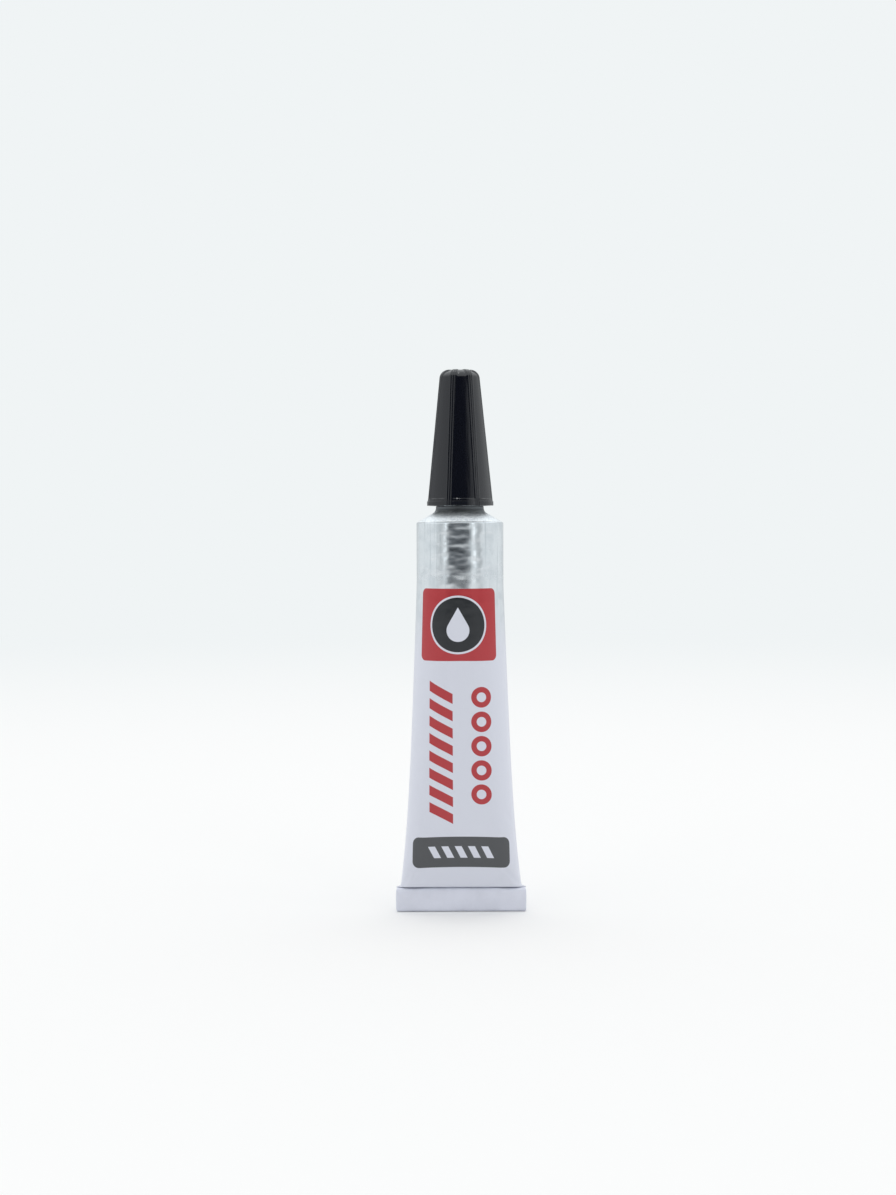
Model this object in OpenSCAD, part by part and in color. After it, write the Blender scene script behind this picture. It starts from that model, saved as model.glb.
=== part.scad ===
// Super glue tube: an aluminium tube with a folded tail and a threaded neck, a nozzle that screws
// down to pierce the foil on the neck, and a pull-off cap with a pin that keeps the orifice open.
// Millimetres, +Z up. The origin is on the floor under the middle of the tube, and the tail is
// folded to the front, -Y.

/* [Tube] */
// Outer diameter of the round part of the tube
tube_d = 13.5; // [12:0.25:15]
// Thickness of the tube's aluminium wall
wall = 0.15; // [0.1:0.01:0.2]
// Height of the round band below the shoulder
band_h = 8.4; // [6:0.2:14]
// Height of the part that flattens, from the crimp up to the round band
body_h = 47.9; // [40:0.5:60]
// Share of the flattening that comes gradually, before the crimp closes the tube
flatten_share = 0.8; // [0.7:0.01:0.85]
// Share of that gradual part that is even all the way down
even_share = 0.67; // [0.5:0.01:0.8]
// How late the rest of it comes, as a power of the way down
late_power = 5; // [3:0.5:6]
// How suddenly the crimp closes the tube, as a power of the way down
crimp_power = 75; // [50:1:90]
// Depth of the glue above the crimp
glue_depth = 27; // [15:1:40]

/* [Tail] */
// Height of the folded strip
fold_h = 3.8; // [3:0.1:6]
// Play between the layers of the fold
fold_play = 0.06; // [0.03:0.01:0.12]
// Height of the flat tail above the fold, up to the crimp
crimp_gap = 0.35; // [0.25:0.05:0.6]
// Thickness of the latex between the two walls
latex_t = 0.1; // [0.06:0.01:0.14]
// Depth of the flat that is pressed along the foot of the fold
foot_depth = 0.12; // [0.08:0.01:0.16]

/* [Shoulder and neck] */
// Slope of the shoulder
shoulder_slope = 30; // [22:1:36]
// Thickness of the shoulder
shoulder_t = 0.4; // [0.3:0.05:0.6]
// Diameter of the plain collar below the thread
collar_d = 7.44; // [7:0.1:8]
// Height of the collar above its fillet
collar_h = 0.25; // [0.1:0.05:0.6]
// Radius of the fillet between the shoulder and the collar
collar_fillet = 1; // [0.6:0.1:1.4]
// Height of the threaded neck above the collar
neck_h = 4.8; // [4.4:0.1:6]
// Bore of the neck
neck_bore_d = 3.8; // [3.2:0.1:4.2]
// Outer diameter of the neck's thread
thread_d = 6; // [5.8:0.1:6.6]
// Depth of the neck's thread
thread_depth = 0.45; // [0.3:0.05:0.5]
// Rise of the thread in one turn
thread_pitch = 1; // [0.9:0.05:1.2]
// Clearance between the neck's thread and the nozzle's
thread_play = 0.1; // [0.06:0.01:0.14]
// Thickness of the foil on the mouth of the neck
foil_t = 0.1; // [0.05:0.01:0.15]

/* [Nozzle] */
// Turns that the nozzle can be screwed down to pierce the foil
pierce_turns = 1; // [0.8:0.1:1.2]
// Thickness of the nozzle's skirt at its flats
skirt_t = 0.45; // [0.4:0.05:0.6]
// Thickness of the roof over the neck
roof_t = 0.7; // [0.5:0.1:1]
// Gap between the point of the piercer and the foil
piercer_gap = 0.25; // [0.15:0.05:0.4]
// Outer diameter of the piercer at the roof
piercer_d = 3; // [2.6:0.1:3]
// Outer diameter of the spout at the roof
spout_base_d = 5.2; // [4.6:0.1:5.6]
// Outer diameter of the spout at its tip
spout_tip_d = 2.2; // [1.8:0.1:2.6]
// Diameter of the orifice
orifice_d = 1; // [0.9:0.05:1.2]

/* [Cap] */
// Height of the cap
cap_h = 21; // [19:0.5:25]
// Slope of the cap's side from the upright
cap_slope = 5.9; // [4:0.1:6.5]
// Wall of the cap at a flat, level with the nozzle's roof
cap_wall = 0.6; // [0.5:0.01:1]
// Depth of a flat below the round lands between the flats
flat_depth = 0.23; // [0.15:0.01:0.3]
// Height of the plain ring at the mouth, below the flats
ring_h = 1.1; // [0.8:0.1:2]
// How far the bead at the foot of the ring stands out
bead_out = 0.03; // [0.02:0.01:0.1]
// Height of that bead
bead_h = 0.7; // [0.4:0.05:0.75]
// Radius of the rounded top edge
top_round = 1.4; // [0.8:0.1:1.8]
// Thickness of the roof of the cap
cap_roof = 2.5; // [2:0.1:3]
// Clearance between the cap and the nozzle
cap_play = 0.12; // [0.08:0.01:0.2]
// Gap left under the cap when the nozzle is screwed right down
cap_gap = 0.35; // [0.2:0.05:0.6]
// Diameter of the pin
pin_d = 0.8; // [0.6:0.05:0.8]
// Length of the pin inside the orifice
pin_reach = 5.5; // [4:0.5:7]
// Turn of the cap's flats about the upright, as it stands
flats_turn = -6.5; // [-25:0.5:25]

/* [Hidden] */
$fn = 64;

// The tube from the floor up. The wall keeps its girth as it flattens, so a section is two half
// circles joined by flats, and its round ends shrink as the flats grow.
tube_r = tube_d/2;
layer_t = 2*wall + latex_t;
fold_step = layer_t + fold_play;
fold_w = PI*(tube_d - wall)/2 - 4*wall;
crimp_z = fold_h + crimp_gap;
band_z = crimp_z + body_h;
head_z = band_z + band_h;
edge_z = head_z + shoulder_t/cos(shoulder_slope) - wall*tan(shoulder_slope);
flat_half_max = fold_w/2 - layer_t/2;
BODY_SIDES = 48;
BODY_RINGS = 18;
GLUE_RINGS = 12;
GLUE_PLAY = 0.05;
GLUE_FOOT = 0.5;

// The neck, with its collar's fillet tangent to the shoulder
collar_r = collar_d/2;
fillet_r = collar_r + collar_fillet;
fillet_z = edge_z + (collar_fillet + (tube_r - fillet_r)*sin(shoulder_slope))/cos(shoulder_slope);
collar_z = fillet_z + collar_h;
mouth_z = collar_z + neck_h;
crest_r = thread_d/2;
root_r = crest_r - thread_depth;
MOUTH_CHAMFER = 0.15;
foil_r = root_r - MOUTH_CHAMFER;

// The thread: both ridges follow one helix, half a pitch apart
THREAD_SIDES = 24;
THREAD_BED = 0.14;
ridge_base = 0.56*thread_pitch;
ridge_tip = 0.18*thread_pitch;
thread_z = collar_z + ridge_base/2 + 0.1;
neck_turns = (mouth_z - MOUTH_CHAMFER - ridge_base/2 - thread_z)/thread_pitch;

// The nozzle, as it leaves the works: screwed on, with the foil still whole
pierce_travel = pierce_turns*thread_pitch;
SEAT_PLAY = 0.3;
NOZZLE_SIDES = 7;
flat_angle = 180/NOZZLE_SIDES;
skirt_z = collar_z + pierce_travel + SEAT_PLAY;
ceiling_z = mouth_z + foil_t + pierce_travel + SEAT_PLAY/2;
roof_z = ceiling_z + roof_t;
skirt_bore_r = crest_r + thread_play;
skirt_flat_r = skirt_bore_r + skirt_t;
piercer_z = mouth_z + foil_t + piercer_gap;
piercer_tip_r = 0.55*piercer_d/2;
piercer_bore_r = 0.5*piercer_d/2;
nut_pitches = ceil((skirt_z + ridge_base/2 + 0.15 - thread_z)/thread_pitch - 0.5);
nut_z = thread_z + (nut_pitches + 0.5)*thread_pitch;
NUT_TURNS = 2.5;

// The cap, which sits on the nozzle's roof
mouth_r = collar_r + collar_fillet*(1 - sin(shoulder_slope)) + SEAT_PLAY;
cap_z = edge_z + (tube_r - mouth_r)*tan(shoulder_slope) + pierce_travel + cap_gap;
cap_top_z = cap_z + cap_h;
cap_bore_flat_r = skirt_flat_r + cap_play;
cap_land_r = cap_bore_flat_r + cap_wall + flat_depth;
mouth_top_z = skirt_z - SEAT_PLAY/2;
hollow_z = cap_top_z - cap_roof;
TIP_GAP = 1;
SPOUT_PLAY = 0.3;
spout_z = hollow_z - TIP_GAP;
spout_slope = (spout_base_d - spout_tip_d)/2/(spout_z - roof_z);
orifice_z = spout_z - pin_reach - 1;
pin_top_z = hollow_z + 0.68*cap_roof;

function arc(center, r, from, to, steps) =
  [for (i = [0:steps]) let (a = from + (to - from)*i/steps) center + r*[cos(a), sin(a)]];

// Half the length of the section's flats, a share s of the way from the round band to the crimp.
// The even part starts softly, so that the wall leaves the round band without a kink.
SOFT_START = 0.03;
function softly(s) = (sqrt(s*s + SOFT_START*SOFT_START) - SOFT_START)/(sqrt(1 + SOFT_START*SOFT_START) - SOFT_START);
function flat_half(s) =
  let (gradual = even_share*softly(s) + (1 - even_share)*pow(s, late_power))
  flat_half_max*(flatten_share*gradual + (1 - flatten_share)*pow(s, crimp_power));
// Radius of the section's round ends, where its flats have that half length
function end_r(flat) = tube_r - (tube_r - layer_t/2)*flat/flat_half_max;

// A point of the section, a share q of the way round, moved in from the outer face by inset
function quarter_point(length, flat, r, inset) =
  length < PI*r/2
    ? [flat + (r - inset)*cos(length/r*180/PI), (r - inset)*sin(length/r*180/PI)]
    : [max(0, flat - (length - PI*r/2)), r - inset];
function section_point(q, flat, inset) =
  let (
    r = end_r(flat),
    quarter = PI*r/2 + flat,
    way = 4*q,
    side = floor(way + 0.000001),
    part = max(0, way - side),
    p = quarter_point((side % 2 == 0 ? part : 1 - part)*quarter, flat, r, inset)
  )
  [side == 0 || side == 3 ? p[0] : -p[0], side < 2 ? p[1] : -p[1]];
function section_ring(z, inset) =
  let (flat = flat_half((band_z - z)/body_h))
  [for (i = [0:BODY_SIDES - 1]) let (p = section_point(i/BODY_SIDES, flat, inset)) [p[0], p[1], z]];

// The side faces between rings of n points each, the first of them at index from
function ring_faces(from, rings, n, inward) =
  [for (j = [0:rings - 2], i = [0:n - 1])
    let (a = from + j*n + i, b = from + j*n + (i + 1) % n)
    each inward ? [[a, b, b + n], [a, b + n, a + n]] : [[a, b + n, b], [a, a + n, b + n]]];

// A closed skin over rings that are listed from the foot up
module skin(rings) {
  n = len(rings[0]);
  last = (len(rings) - 1)*n;
  polyhedron(
    [for (ring = rings) each ring],
    concat(
      ring_faces(0, len(rings), n, false),
      [[for (i = [0:n - 1]) i]],
      [[for (i = [n - 1:-1:0]) last + i]]
    )
  );
}

// A wall between outer and inner rings, open at its two ends
module sleeve(outer, inner) {
  n = len(outer[0]);
  rings = len(outer);
  half = rings*n;
  last = (rings - 1)*n;
  polyhedron(
    [for (ring = concat(outer, inner)) each ring],
    concat(
      ring_faces(0, rings, n, false),
      ring_faces(half, rings, n, true),
      [for (i = [0:n - 1]) let (k = (i + 1) % n) each [[i, k, half + k], [i, half + k, half + i]]],
      [for (i = [0:n - 1]) let (a = last + i, b = last + (i + 1) % n)
        each [[a, half + b, b], [a, half + a, half + b]]]
    )
  );
}

// A helical ridge round the upright axis, from bed_r out or in to tip_r, that fades at both ends
module helix_ridge(bed_r, tip_r, bed_w, tip_w, turns) {
  steps = ceil(turns*THREAD_SIDES);
  FADE_TURNS = 0.3;
  LEAST = 0.4;
  sections = [for (i = [0:steps]) let (
      turn = turns*i/steps,
      fade = min(1, LEAST + (1 - LEAST)*min(turn, turns - turn)/FADE_TURNS),
      r = bed_r + (tip_r - bed_r)*fade,
      way = [cos(360*turn), sin(360*turn), 0],
      z = [0, 0, thread_pitch*turn]
    )
    [bed_r*way + z - [0, 0, bed_w/2], r*way + z - [0, 0, tip_w/2],
     r*way + z + [0, 0, tip_w/2], bed_r*way + z + [0, 0, bed_w/2]]];
  inward = tip_r < bed_r;
  first_cap = [0, 1, 2, 3];
  last_cap = [for (i = [3:-1:0]) 4*steps + i];
  polyhedron(
    [for (section = sections) each section],
    concat(
      ring_faces(0, steps + 1, 4, !inward),
      [inward ? first_cap : [for (i = [3:-1:0]) first_cap[i]]],
      [inward ? last_cap : [for (i = [3:-1:0]) last_cap[i]]]
    )
  );
}

// A prism with seven flats, its corners in line with the lands of the cap
module seven_flats(flat_r, h) {
  rotate([0, 0, flats_turn])
    cylinder(r = flat_r/cos(flat_angle), h = h, $fn = NOZZLE_SIDES);
}

// The path of the folded tail in side view, as a strip of the given thickness: down at the back,
// round the foot, up the front, over the top and down in the middle
module fold_path(t) {
  foot_z = fold_step + layer_t/2 - foot_depth;
  top_z = fold_h - fold_step/2 - layer_t/2;
  translate([-t/2, foot_z])
    square([t, crimp_z - foot_z]);
  translate([-fold_step, foot_z])
    half_ring(fold_step, t, -1);
  translate([-2*fold_step - t/2, foot_z])
    square([t, top_z - foot_z]);
  translate([-1.5*fold_step, top_z])
    half_ring(fold_step/2, t, 1);
  translate([-fold_step - t/2, foot_z])
    square([t, top_z - foot_z]);
}

// Half of a flat ring of middle radius r and width t: the upper half, or the lower one for side -1
module half_ring(r, t, side) {
  intersection() {
    difference() {
      circle(r + t/2);
      circle(r - t/2);
    }
    translate([-2*r, side > 0 ? 0 : -2*r])
      square([4*r, 2*r]);
  }
}

module across(width) {
  rotate([90, 0, 90])
    linear_extrude(width, center = true)
      children();
}

// The printed wall below the round band, which flattens down to the crimp
module tube_body() {
  levels = [for (j = [0:BODY_RINGS]) crimp_z + body_h*pow(j/BODY_RINGS, 2)];
  color("#dcdde6")
    sleeve([for (z = levels) section_ring(z, 0)], [for (z = levels) section_ring(z, wall)]);
}

// The round band of bare wall, the shoulder and the threaded neck
module tube_head() {
  inner_edge_z = head_z + (tube_r - wall - neck_bore_d/2)*tan(shoulder_slope);
  color("#c3c5ca")
    union() {
      rotate_extrude()
        polygon(concat(
          [[tube_r - wall, band_z], [tube_r, band_z], [tube_r, edge_z]],
          arc([fillet_r, fillet_z], collar_fillet, 270 - shoulder_slope, 180, 8),
          [
            [collar_r, collar_z],
            [root_r, collar_z],
            [root_r, mouth_z - MOUTH_CHAMFER],
            [foil_r, mouth_z],
            [neck_bore_d/2, mouth_z],
            [neck_bore_d/2, inner_edge_z],
            [tube_r - wall, head_z]
          ]
        ));
      translate([0, 0, thread_z])
        helix_ridge(root_r - THREAD_BED, crest_r, ridge_base, ridge_tip, neck_turns);
    }
}

// The tail of the tube, pressed flat and folded twice, with a slot inside for the latex
module tail_fold() {
  color("#d9dae3")
    difference() {
      across(fold_w)
        intersection() {
          fold_path(layer_t);
          translate([-2*fold_h, 0])
            square([4*fold_h, 2*fold_h]);
        }
      across(fold_w - 2*layer_t)
        fold_path(latex_t);
    }
}

// The latex film that seals the tail, between its two walls
module tail_latex() {
  color("#c9b48a")
    across(fold_w - 2*layer_t)
      fold_path(latex_t);
}

// The glue, level on top, in the lower half of the tube
module glue() {
  foot = crimp_z + GLUE_FOOT;
  color("#e6e8e4")
    skin([for (j = [0:GLUE_RINGS])
      section_ring(foot + (glue_depth - GLUE_FOOT)*pow(j/GLUE_RINGS, 2), wall + GLUE_PLAY)]);
}

// The foil that seals the mouth of the neck until the piercer goes through it
module neck_foil() {
  color("#d2d4d8")
    translate([0, 0, mouth_z])
      cylinder(r = foil_r, h = foil_t);
}

// The nozzle: a seven-sided skirt with an inner thread, a roof with the piercer under it, and the spout
module nozzle() {
  color("#e9ebe6") {
    difference() {
      union() {
        translate([0, 0, skirt_z])
          seven_flats(skirt_flat_r, roof_z - skirt_z);
        translate([0, 0, roof_z])
          cylinder(r1 = spout_base_d/2, r2 = spout_tip_d/2, h = spout_z - roof_z);
      }
      nozzle_bore();
    }
    intersection() {
      translate([0, 0, nut_z])
        helix_ridge(skirt_bore_r + THREAD_BED, root_r + thread_play, ridge_base, ridge_tip, NUT_TURNS);
      cylinder(r = skirt_bore_r + THREAD_BED, h = ceiling_z);
    }
  }
}

// What is hollow in the nozzle: the skirt around the piercer, and the way up to the orifice
module nozzle_bore() {
  CUT = 1;
  BORE_STEP = 0.5;
  spout_bore_r = spout_base_d/2 - 2*skirt_t;
  rotate_extrude()
    polygon([
      [0, skirt_z - CUT],
      [skirt_bore_r, skirt_z - CUT],
      [skirt_bore_r, ceiling_z],
      [piercer_d/2, ceiling_z],
      [piercer_tip_r, piercer_z],
      [piercer_bore_r, piercer_z],
      [piercer_bore_r, ceiling_z],
      [spout_bore_r, ceiling_z + BORE_STEP],
      [orifice_d/2, orifice_z],
      [orifice_d/2, spout_z + CUT],
      [0, spout_z + CUT]
    ]);
}

// The cap: a round cone with seven flats, a ring at the mouth, and a hollow that fits the nozzle
module cap() {
  color("#17181a")
    difference() {
      cap_form();
      for (i = [0:NOZZLE_SIDES - 1])
        rotate([0, 0, flats_turn + (2*i + 1)*flat_angle])
          cap_flat();
      cap_hollow();
    }
}

function cap_r(z) = cap_land_r + (roof_z - z)*tan(cap_slope);

module cap_form() {
  round_r = cap_r(cap_top_z - top_round) - top_round/cos(cap_slope);
  rotate_extrude()
    polygon(concat(
      [
        [0, cap_z],
        [cap_r(cap_z) + bead_out, cap_z],
        [cap_r(cap_z) + bead_out, cap_z + bead_h],
        [cap_r(cap_z + bead_h), cap_z + bead_h]
      ],
      arc([round_r, cap_top_z - top_round], top_round, cap_slope, 90, 8),
      [[0, cap_top_z]]
    ));
}

// What one flat takes off the cone, above the plain ring
module cap_flat() {
  rotate([0, -cap_slope, 0])
    translate([(cap_r(0) - flat_depth)*cos(cap_slope), -tube_r, cap_z + ring_h - cap_r(0)*sin(cap_slope)])
      cube([tube_r, tube_d, 2*cap_h]);
}

// The hollow of the cap: a wide mouth, a seven-sided bore, the space round the spout and a socket
module cap_hollow() {
  CUT = 1;
  spout_room_r = spout_base_d/2 + SPOUT_PLAY;
  translate([0, 0, cap_z - CUT])
    cylinder(r = mouth_r, h = mouth_top_z - cap_z + CUT);
  translate([0, 0, mouth_top_z - CUT])
    seven_flats(cap_bore_flat_r, roof_z - mouth_top_z + CUT);
  translate([0, 0, roof_z])
    cylinder(r1 = spout_room_r, r2 = spout_room_r - spout_slope*(hollow_z - roof_z), h = hollow_z - roof_z);
  translate([0, 0, hollow_z - CUT])
    cylinder(r = pin_d/2, h = pin_top_z - hollow_z + CUT);
}

// The steel pin in the roof of the cap, down into the orifice
module cap_pin() {
  color("#a9adb2")
    translate([0, 0, spout_z - pin_reach])
      cylinder(r = pin_d/2, h = pin_top_z - spout_z + pin_reach);
}

tube_body();
tube_head();
tail_fold();
tail_latex();
glue();
neck_foil();
nozzle();
cap();
cap_pin();
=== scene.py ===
from math import atan2, copysign, cos, exp, hypot, pi, radians, sin, tan

import bmesh
import bpy
from mathutils import Matrix, Vector


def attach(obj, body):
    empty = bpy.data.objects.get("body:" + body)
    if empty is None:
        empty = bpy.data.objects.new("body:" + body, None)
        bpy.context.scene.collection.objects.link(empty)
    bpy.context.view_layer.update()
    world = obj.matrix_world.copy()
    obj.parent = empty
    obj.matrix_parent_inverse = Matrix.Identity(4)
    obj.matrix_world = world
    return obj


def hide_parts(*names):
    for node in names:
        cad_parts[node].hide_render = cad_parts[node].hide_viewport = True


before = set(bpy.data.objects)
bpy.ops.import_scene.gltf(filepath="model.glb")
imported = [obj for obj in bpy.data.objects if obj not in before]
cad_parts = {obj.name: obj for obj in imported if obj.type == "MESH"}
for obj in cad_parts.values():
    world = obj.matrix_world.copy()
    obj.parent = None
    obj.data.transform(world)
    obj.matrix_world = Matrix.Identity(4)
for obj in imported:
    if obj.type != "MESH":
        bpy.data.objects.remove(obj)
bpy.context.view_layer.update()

# Tube wall. Impact-extruded aluminium, 0.15 mm thick, pressed flat at the tail, so that it runs from
# round to flat at one girth. White lacquer covers it up to the bare top, and the two-colour print lies
# on the lacquer.
MM = 0.001
TUBE_R, WALL_T = 6.75, 0.15
BAND_Z, CRIMP_Z = 52.05, 3.8
FOLD_W, LAYER_T = 20.37, 0.4
HALF_GIRTH = pi*TUBE_R
# Shares of the flattening: evenly down the tube after a soft start, late, and at the crimp itself
EVENLY, LATE, AT_CRIMP, SOFT_START = 0.536, 0.264, 0.2, 0.03


def wall_point(turn, z, inset=0):
    """The wall at height z. turn runs along the girth from -1 to 1, with 0 at the middle of the front.

    inset gives a point that far inside the wall."""
    down = min(max((BAND_Z - z)/(BAND_Z - CRIMP_Z), 0), 1)
    softly = (hypot(down, SOFT_START) - SOFT_START)/(hypot(1, SOFT_START) - SOFT_START)
    share = EVENLY*softly + LATE*down**5 + AT_CRIMP*down**400
    flat = (FOLD_W - LAYER_T)/2*share
    end_r = TUBE_R - (TUBE_R - LAYER_T/2)*share
    quarter = flat + pi/2*end_r
    run = 2*quarter*abs(turn)
    at_back = run > quarter
    run = 2*quarter - run if at_back else run
    round_part = max(run - flat, 0)/end_r
    x = min(run, flat) + (end_r - inset)*sin(round_part)
    y = (end_r - inset)*cos(round_part)
    return Vector((copysign(x, turn), y if at_back else -y, z))


# Creases that folding and handling left: the side, -1 for the front and 1 for the back, then both ends
# as (x, z), width and depth. Together they press in at most a share of the wall's distance from the middle.
CREASE_LIMIT = 0.25
CREASES = [
    (-1, (6.6, 7.2), (8.5, 4.9), 0.35, 0.16), (-1, (-7.8, 6.6), (-8.6, 5.0), 0.35, 0.16),
    (-1, (7.1, 15.5), (8.0, 14.4), 0.35, 0.12), (-1, (-8.0, 8.3), (-6.2, 5.4), 0.6, 0.12),
    (-1, (5.8, 4.6), (8.4, 8.2), 0.6, 0.12), (1, (-4.0, 9.0), (3.5, 6.4), 0.8, 0.18),
    (1, (5.0, 19.0), (7.4, 16.5), 0.5, 0.14), (1, (-6.2, 30.0), (-4.8, 26.5), 0.6, 0.12),
    (1, (8.2, 6.8), (6.2, 4.9), 0.4, 0.16),
]


def creased(point):
    """The point pressed in where a crease runs past it."""
    depth = 0
    for side, (x0, z0), (x1, z1), width, deep in CREASES:
        if side*point.y < 0:
            continue
        along = ((point.x - x0)*(x1 - x0) + (point.z - z0)*(z1 - z0))/((x1 - x0)**2 + (z1 - z0)**2)
        along = min(max(along, 0), 1)
        off = hypot(point.x - x0 - along*(x1 - x0), point.z - z0 - along*(z1 - z0))
        depth += deep*exp(-(off/width)**2)
    point.y -= copysign(min(depth, CREASE_LIMIT*abs(point.y)), point.y)
    return point


def colour(code):
    """A hex sRGB colour as the linear values that a shader takes."""
    values = [int(code[i:i + 2], 16)/255 for i in (1, 3, 5)]
    return [v/12.92 if v <= 0.04045 else ((v + 0.055)/1.055)**2.4 for v in values] + [1]


def node(tree, kind, inputs=(), **settings):
    """A new shader node. A socket among its inputs is linked, and anything else is set as the value."""
    made = tree.nodes.new("ShaderNode" + kind)
    for name, value in settings.items():
        setattr(made, name, value)
    for name, value in dict(inputs).items():
        if isinstance(value, bpy.types.NodeSocket):
            tree.links.new(value, made.inputs[name])
        else:
            made.inputs[name].default_value = value
    return made


def new_material(name):
    """An empty material, its node tree and the Object coordinates of what it covers."""
    material = bpy.data.materials.new(name)
    material.use_nodes = True
    tree = material.node_tree
    tree.nodes.clear()
    return material, tree, node(tree, "TexCoord").outputs["Object"]


def show(tree, **inputs):
    """Ends a material with a Principled shader. Underscores in the names stand for spaces."""
    shader = node(tree, "BsdfPrincipled", {k.replace("_", " "): v for k, v in inputs.items()})
    node(tree, "OutputMaterial", {"Surface": shader.outputs[0]})


def maths(tree, operation, *values):
    """The result of one Math node."""
    return node(tree, "Math", enumerate(values), operation=operation).outputs[0]


def away(tree, value, middle):
    """How far a value lies from a middle, on either side."""
    return maths(tree, "ABSOLUTE", maths(tree, "SUBTRACT", value, middle))


def rise(tree, value, low, high):
    """0 up to low, 1 from high on, smooth between them. low may be the larger of the two."""
    inputs = {"Value": value, "From Min": low, "From Max": high}
    return node(tree, "MapRange", inputs, interpolation_type="SMOOTHSTEP").outputs[0]


def between(tree, value, rising, falling):
    """1 between two slopes and 0 outside them. A slope is where it is 0 and where it is 1."""
    return maths(tree, "MULTIPLY", rise(tree, value, *rising), rise(tree, value, *falling))


def blend(tree, share, first, second):
    """One colour where share is 0 and another where it is 1."""
    return node(tree, "Mix", {0: share, 6: first, 7: second}, data_type="RGBA").outputs[2]


def blend_value(tree, share, first, second):
    """One number where share is 0 and another where it is 1."""
    return node(tree, "Mix", {0: share, 2: first, 3: second}).outputs[0]


def noise(tree, place, scale, detail=2, stretch=(1, 1, 1)):
    """Noise on a place that is stretched first. scale counts patches per millimetre of the place."""
    moved = node(tree, "Mapping", {"Vector": place, "Scale": stretch}).outputs[0]
    return node(tree, "TexNoise", {"Vector": moved, "Scale": scale/MM, "Detail": detail}).outputs["Fac"]


def bumps(tree, height, depth, strength=1.0):
    """A normal that follows a height from 0 to 1, of that depth in mm."""
    return node(tree, "Bump", {"Height": height, "Distance": depth*MM, "Strength": strength}).outputs[0]


# How far the edge of the ink fades to each side
INK_EDGE = 0.03


def printed_panel(tree, u, v, middle, half, corner):
    """1 on a rounded panel of the print and 0 off it, in mm along the girth and up the tube."""
    across, up = [maths(tree, "SUBTRACT", away(tree, at, centre), reach - corner)
                  for at, centre, reach in zip((u, v), middle, half)]
    squares = [maths(tree, "POWER", maths(tree, "MAXIMUM", side, 0), 2) for side in (across, up)]
    outside = maths(tree, "SQRT", maths(tree, "ADD", *squares))
    inside = maths(tree, "MINIMUM", maths(tree, "MAXIMUM", across, up), 0)
    off = maths(tree, "ADD", outside, inside)
    return rise(tree, off, corner + INK_EDGE, corner - INK_EDGE)


def printed_disc(tree, u, v, middle, radius):
    """1 on a disc of the print and 0 off it."""
    return printed_panel(tree, u, v, middle, (radius, radius), radius)


def repeated(tree, run, pitch, width):
    """1 on the first part of every pitch along a run, of that width, and 0 on the rest."""
    along = maths(tree, "FLOORED_MODULO", run, pitch)
    return between(tree, along, (0, 0.05), (width, width - 0.06))


# Heights between which the bare metal turns glossier, and the depth of its waves
DULL_Z, GLOSSY_Z, WAVE_DEPTH = 51, 55, 0.18


def drawn_metal(tree, place):
    """Colour, roughness and height of bare aluminium: upright draw lines, shallow waves and dull patches.

    It is dull next to the lacquer and glossier above."""
    draw_lines = noise(tree, place, 4, stretch=(1, 1, 0.02))
    waves = noise(tree, place, 0.75, 0.6, (0.5, 0.5, 1))
    dull = rise(tree, noise(tree, place, 0.5, 4), 0.4, 0.75)
    tint = blend(tree, dull, colour("#e0e5e9"), colour("#d2d8dd"))
    tint = blend(tree, rise(tree, draw_lines, 0.52, 0.72), tint, colour("#ccd3d8"))
    up = node(tree, "SeparateXYZ", {0: place}).outputs[2]
    roughness = maths(tree, "MULTIPLY_ADD", rise(tree, up, DULL_Z*MM, GLOSSY_Z*MM), -0.09, 0.265)
    roughness = maths(tree, "MULTIPLY_ADD", draw_lines, 0.05, roughness)
    roughness = maths(tree, "MULTIPLY_ADD", dull, 0.04, roughness)
    return tint, roughness, maths(tree, "MULTIPLY_ADD", draw_lines, 0.015, waves)


# Lacquered aluminium: satin white with a faint orange peel, thinning out to the polished metal. One unit
# of the map "girth" is UV_SPAN mm of the metal.
UV_SPAN = 100
LACQUER = colour("#d8dbe6")
LACQUER_END, BARE_START = 39.5, 50.5
white_lacquer, tree, place = new_material("white_lacquer")
girth = node(tree, "UVMap", uv_map="girth").outputs[0]
apart = node(tree, "SeparateXYZ", {0: girth}).outputs
u, v = [maths(tree, "MULTIPLY", apart[i], UV_SPAN) for i in (0, 1)]
ragged = maths(tree, "ADD", v, noise(tree, place, 0.25, stretch=(1, 1, 0.2)))
bare = rise(tree, ragged, LACQUER_END, BARE_START)

# The print. Places and half sizes are in mm along the girth and up the metal. At the top is a red panel
# with a pale drop in a dark roundel.
RED_INK, DARK_INK, BAR_INK = colour("#b2353b"), colour("#26292d"), colour("#4e5053")
EMBLEM, EMBLEM_HALF, EMBLEM_CORNER = (-0.4, 45.25), (6.4, 5.55), 0.9
ROUNDEL_R, KEYLINE_R = 4.2, 4.5
DROP, DROP_R, DROP_SLOPE, DROP_TIP = (-0.4, 44.4), 1.75, 1.75, 3.54
emblem = printed_panel(tree, u, v, EMBLEM, EMBLEM_HALF, EMBLEM_CORNER)
roundel = printed_disc(tree, u, v, EMBLEM, ROUNDEL_R)
keyline = maths(tree, "SUBTRACT", printed_disc(tree, u, v, EMBLEM, KEYLINE_R), roundel)
drop_side = maths(tree, "MULTIPLY_ADD", away(tree, u, DROP[0]), DROP_SLOPE,
                  maths(tree, "SUBTRACT", v, DROP[1]))
drop_tip = maths(tree, "MULTIPLY", rise(tree, drop_side, DROP_TIP + 0.04, DROP_TIP - 0.04),
                 rise(tree, v, DROP[1] + 0.8, DROP[1] + 0.9))
drop = maths(tree, "MAXIMUM", printed_disc(tree, u, v, DROP, DROP_R), drop_tip)

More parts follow.
